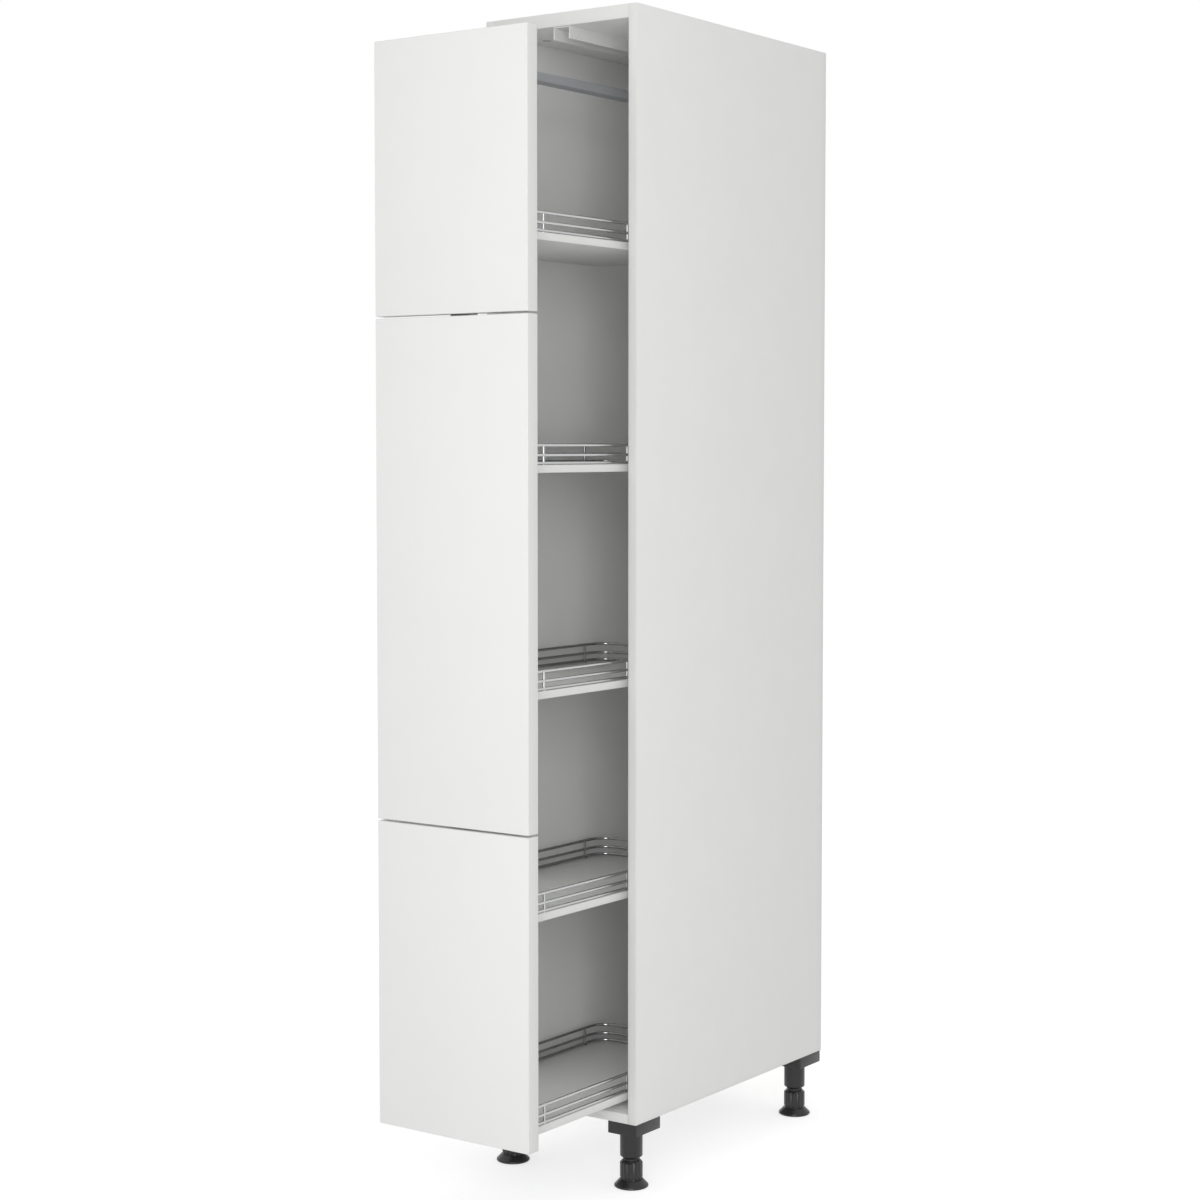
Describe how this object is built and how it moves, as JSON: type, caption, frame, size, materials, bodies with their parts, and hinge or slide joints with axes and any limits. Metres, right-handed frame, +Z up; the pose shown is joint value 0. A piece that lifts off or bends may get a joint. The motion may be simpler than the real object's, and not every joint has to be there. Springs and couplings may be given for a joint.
{
  "type": "pull out larder unit",
  "caption": "Tall narrow kitchen cabinet on levelling feet, with slab fronts on a full-extension frame that carries railed trays, drawn part of the way out.",
  "frame": {"origin": "on the floor, at the middle of the unit's footprint with the pull-out in its rest pose, drawn out 255 mm", "axes": "+Z up, -Y out of the front towards the user, +X to the right as seen from the front"},
  "size_m": [0.3, 0.872, 1.895],
  "materials": {
    "white_melamine_board": "melamine-faced chipboard, fine matt grain, white",
    "white_lacquered_front": "smooth satin white",
    "tray_board": "melamine-faced board with a non-slip matt top, white",
    "chrome_plated_wire": "bright chrome-plated steel wire",
    "black_plastic": "moulded, fine texture, black",
    "beech": "turned, fluted",
    "clear_buffer": "soft, milky",
    "steel_balls": "hardened balls in a pressed steel strip",
    "white_nylon": "turned, white",
    "grey_powder_coat": "powder-coated steel, light grey, fine texture",
    "white_powder_coat": "powder-coated steel, white, fine texture",
    "bright_steel": "turned steel",
    "die_cast_zinc": "die-cast zinc alloy, bright",
    "zinc_plated_steel": "pressed steel, zinc plated"
  },
  "bodies": {
    "cabinet": {"left_side_panel": "white_melamine_board", "right_side_panel": "white_melamine_board", "top_panel": "white_melamine_board", "bottom_panel": "white_melamine_board", "back_panel": "white_melamine_board", "upper_rear_rail": "white_melamine_board", "lower_rear_rail": "white_melamine_board", "cam_locks": "die_cast_zinc", "cam_bolts": "die_cast_zinc", "dowels": "beech", "front_left_foot_flange": "black_plastic", "front_right_foot_flange": "black_plastic", "rear_left_foot_flange": "black_plastic", "rear_right_foot_flange": "black_plastic", "front_left_leg": "black_plastic", "front_right_leg": "black_plastic", "rear_left_leg": "black_plastic", "rear_right_leg": "black_plastic", "foot_screws": "zinc_plated_steel", "left_runner_cabinet_member": "zinc_plated_steel", "right_runner_cabinet_member": "zinc_plated_steel", "runner_screws": "zinc_plated_steel", "top_guide_channel": "white_powder_coat"},
    "pull_out": {"left_runner_inner_member": "zinc_plated_steel", "right_runner_inner_member": "zinc_plated_steel", "base_plate": "grey_powder_coat", "front_post": "grey_powder_coat", "rear_post": "grey_powder_coat", "top_bar": "grey_powder_coat", "guide_carriage": "grey_powder_coat", "guide_axles": "bright_steel", "bottom_front": "white_lacquered_front", "middle_front": "white_lacquered_front", "top_front": "white_lacquered_front", "front_brackets": "zinc_plated_steel", "bracket_screws": "zinc_plated_steel", "tray_hangers": "zinc_plated_steel", "tray_screws": "zinc_plated_steel", "base_rivets": "bright_steel", "door_buffers": "clear_buffer", "tray_1_board": "tray_board", "tray_2_board": "tray_board", "tray_3_board": "tray_board", "tray_4_board": "tray_board", "tray_5_board": "tray_board", "tray_1_rail": "chrome_plated_wire", "tray_2_rail": "chrome_plated_wire", "tray_3_rail": "chrome_plated_wire", "tray_4_rail": "chrome_plated_wire", "tray_5_rail": "chrome_plated_wire"},
    "runner_middle_members": {"left_runner_middle_member": "zinc_plated_steel", "right_runner_middle_member": "zinc_plated_steel"},
    "outer_ball_cages": {"outer_ball_cages": "steel_balls"},
    "inner_ball_cages": {"inner_ball_cages": "steel_balls"},
    "front_guide_roller": {"front_guide_roller": "white_nylon"},
    "rear_guide_roller": {"rear_guide_roller": "white_nylon"},
    "front_left_pad": {"front_left_pad": "black_plastic"},
    "front_right_pad": {"front_right_pad": "black_plastic"},
    "rear_left_pad": {"rear_left_pad": "black_plastic"},
    "rear_right_pad": {"rear_right_pad": "black_plastic"}
  },
  "joints": [
    {"name": "pull_out_slide", "type": "slide", "parent": "cabinet", "child": "pull_out", "axis": [0, -1, 0], "range_m": [-0.255, 0.245]},
    {"name": "runner_middle_slide", "type": "slide", "parent": "cabinet", "child": "runner_middle_members", "axis": [0, -1, 0], "range_m": [-0.1275, 0.1225]},
    {"name": "outer_ball_cage_slide", "type": "slide", "parent": "cabinet", "child": "outer_ball_cages", "axis": [0, -1, 0], "range_m": [-0.06375, 0.06125]},
    {"name": "inner_ball_cage_slide", "type": "slide", "parent": "cabinet", "child": "inner_ball_cages", "axis": [0, -1, 0], "range_m": [-0.19125, 0.18375]},
    {"name": "rear_roller_spin", "type": "hinge", "parent": "pull_out", "child": "rear_guide_roller", "pos_m": [0, 0.138, 1.862], "axis": [0, 0, 1], "continuous": true},
    {"name": "front_roller_spin", "type": "hinge", "parent": "pull_out", "child": "front_guide_roller", "pos_m": [0, 0.1086, 1.862], "axis": [0, 0, 1], "continuous": true},
    {"name": "front_left_pad_height", "type": "slide", "parent": "cabinet", "child": "front_left_pad", "axis": [0, 0, -1], "range_m": [0, 0.02]},
    {"name": "front_right_pad_height", "type": "slide", "parent": "cabinet", "child": "front_right_pad", "axis": [0, 0, -1], "range_m": [0, 0.02]},
    {"name": "rear_left_pad_height", "type": "slide", "parent": "cabinet", "child": "rear_left_pad", "axis": [0, 0, -1], "range_m": [0, 0.02]},
    {"name": "rear_right_pad_height", "type": "slide", "parent": "cabinet", "child": "rear_right_pad", "axis": [0, 0, -1], "range_m": [0, 0.02]}
  ],
  "couplings": [
    {"joint": "runner_middle_slide", "follows": "pull_out_slide", "ratio": 0.5},
    {"joint": "outer_ball_cage_slide", "follows": "pull_out_slide", "ratio": 0.25},
    {"joint": "inner_ball_cage_slide", "follows": "pull_out_slide", "ratio": 0.75}
  ]
}
